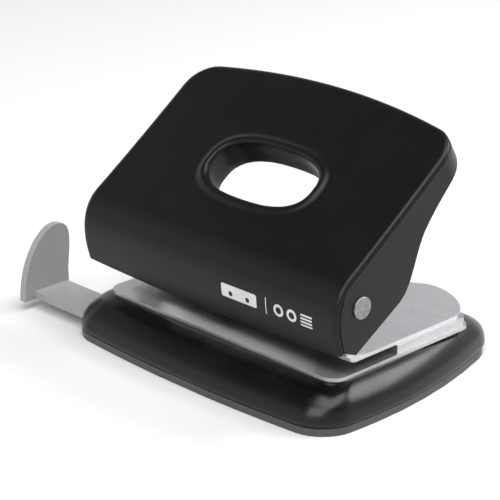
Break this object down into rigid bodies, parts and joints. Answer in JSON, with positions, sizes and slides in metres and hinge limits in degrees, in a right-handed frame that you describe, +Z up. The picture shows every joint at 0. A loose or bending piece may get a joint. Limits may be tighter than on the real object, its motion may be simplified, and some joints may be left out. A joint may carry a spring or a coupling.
{
  "type": "hole punch",
  "caption": "Two-hole desk punch with a sprung lever handle that has an eye-shaped window, steel plates, a chip tray and a sliding paper guide.",
  "frame": {"origin": "on the desk, under the middle of the base, midway between the two punches from side to side", "axes": "+X to the right seen from the side where paper goes in, +Y towards the back, where the handle's free end is, +Z up"},
  "size_m": [0.1422, 0.0935, 0.083],
  "materials": {
    "base_plastic": "satin moulded",
    "handle_plastic": "fine satin moulded",
    "tray_plastic": "flexible satin moulded",
    "guide_plastic": "satin moulded",
    "die_steel": "bright rolled edge, zinc plated",
    "frame_steel": "dull zinc plated sheet",
    "tower_steel": "zinc plated pressing",
    "bar_steel": "zinc plated strip",
    "punch_steel": "ground and hardened",
    "spring_wire": "drawn wire",
    "clip_steel": "blackened spring steel",
    "pin_steel": "turned, dull bright",
    "rivet_steel": "headed, zinc plated",
    "screw_steel": "zinc plated"
  },
  "bodies": {
    "base": {"base_body": "base_plastic", "die_plate": "die_steel", "punch_frame": "frame_steel", "punch_tower_left": "tower_steel", "punch_tower_right": "tower_steel", "tower_rivets": "rivet_steel", "frame_rivets": "rivet_steel", "base_screws": "screw_steel", "pivot_pin_left": "pin_steel", "pivot_pin_right": "pin_steel", "pivot_spacer_left": "pin_steel", "pivot_spacer_right": "pin_steel", "pivot_clip_left": "clip_steel", "pivot_clip_right": "clip_steel", "return_spring_left": "spring_wire", "return_spring_right": "spring_wire", "guide_detent": "spring_wire"},
    "handle": {"handle_shell": "handle_plastic", "pressure_bar": "bar_steel", "bar_screws": "screw_steel"},
    "left_punch": {"punch_pin_left": "punch_steel", "punch_clip_left": "clip_steel"},
    "right_punch": {"punch_pin_right": "punch_steel", "punch_clip_right": "clip_steel"},
    "guide": {"paper_guide": "guide_plastic"},
    "tray": {"chip_tray": "tray_plastic"}
  },
  "joints": [
    {"name": "handle_hinge", "type": "hinge", "parent": "base", "child": "handle", "pos_m": [0, -0.0274, 0.0374], "axis": [-1, 0, 0], "range_deg": [0, 28], "stiffness_Nm_per_rad": 0.35, "springref_deg": -34.38},
    {"name": "left_punch_slide", "type": "slide", "parent": "base", "child": "left_punch", "axis": [0, 0, -1], "range_m": [0, 0.0057], "deforming": ["return_spring_left"]},
    {"name": "right_punch_slide", "type": "slide", "parent": "base", "child": "right_punch", "axis": [0, 0, -1], "range_m": [0, 0.0057], "deforming": ["return_spring_right"]},
    {"name": "guide_slide", "type": "slide", "parent": "base", "child": "guide", "axis": [-1, 0, 0], "range_m": [-0.02, 0.068]},
    {"name": "tray_hinge", "type": "hinge", "parent": "base", "child": "tray", "pos_m": [0, 0.0446, 0.0015], "axis": [1, 0, 0], "range_deg": [0, 75]}
  ],
  "couplings": [
    {"joint": "left_punch_slide", "follows": "handle_hinge", "m_per_rad": 0.011224},
    {"joint": "right_punch_slide", "follows": "handle_hinge", "m_per_rad": 0.011224}
  ]
}
